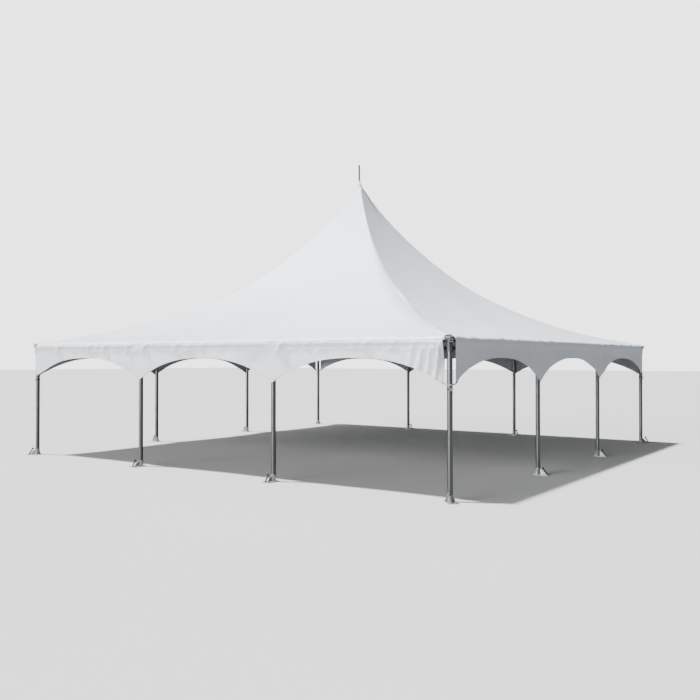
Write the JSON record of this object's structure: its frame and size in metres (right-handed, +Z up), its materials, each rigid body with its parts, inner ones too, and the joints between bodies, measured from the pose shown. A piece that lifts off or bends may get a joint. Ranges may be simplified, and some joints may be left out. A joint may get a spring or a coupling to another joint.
{
  "type": "marquee tent",
  "caption": "Square high-peak frame marquee: a white canopy over a tube frame on legs, with a scalloped valance and a mast on crossed cables.",
  "frame": {"origin": "centre of the square plan, on the level ground that the base plates stand on", "axes": "+Z up along the mast, +X towards the side called right, -Y towards the side called front"},
  "size_m": [9.524, 9.524, 6],
  "materials": {
    "galvanised_tube": "dull galvanised",
    "cast_fitting": "satin cast",
    "wire_rope": "stranded, galvanised",
    "white_fabric": "smooth coated, satin"
  },
  "bodies": {
    "root": {"leg_corner_front_left": "galvanised_tube", "corner_fitting_front_left": "cast_fitting", "leg_front_1": "galvanised_tube", "tee_fitting_front_1": "cast_fitting", "leg_front_2": "galvanised_tube", "tee_fitting_front_2": "cast_fitting", "eave_rail_front_1": "galvanised_tube", "eave_rail_front_2": "galvanised_tube", "eave_rail_front_3": "galvanised_tube", "valance_front": "white_fabric", "leg_corner_front_right": "galvanised_tube", "corner_fitting_front_right": "cast_fitting", "leg_right_1": "galvanised_tube", "tee_fitting_right_1": "cast_fitting", "leg_right_2": "galvanised_tube", "tee_fitting_right_2": "cast_fitting", "eave_rail_right_1": "galvanised_tube", "eave_rail_right_2": "galvanised_tube", "eave_rail_right_3": "galvanised_tube", "valance_right": "white_fabric", "leg_corner_back_right": "galvanised_tube", "corner_fitting_back_right": "cast_fitting", "leg_back_1": "galvanised_tube", "tee_fitting_back_1": "cast_fitting", "leg_back_2": "galvanised_tube", "tee_fitting_back_2": "cast_fitting", "eave_rail_back_1": "galvanised_tube", "eave_rail_back_2": "galvanised_tube", "eave_rail_back_3": "galvanised_tube", "valance_back": "white_fabric", "leg_corner_back_left": "galvanised_tube", "corner_fitting_back_left": "cast_fitting", "leg_left_1": "galvanised_tube", "tee_fitting_left_1": "cast_fitting", "leg_left_2": "galvanised_tube", "tee_fitting_left_2": "cast_fitting", "eave_rail_left_1": "galvanised_tube", "eave_rail_left_2": "galvanised_tube", "eave_rail_left_3": "galvanised_tube", "valance_left": "white_fabric", "cross_cable_front_left": "wire_rope", "cross_cable_front_right": "wire_rope", "cross_cable_back_right": "wire_rope", "cross_cable_back_left": "wire_rope", "mast_base": "cast_fitting", "mast": "galvanised_tube", "peak_collar": "white_fabric", "canopy_front": "white_fabric", "canopy_right": "white_fabric", "canopy_back": "white_fabric", "canopy_left": "white_fabric"}
  },
  "joints": []
}
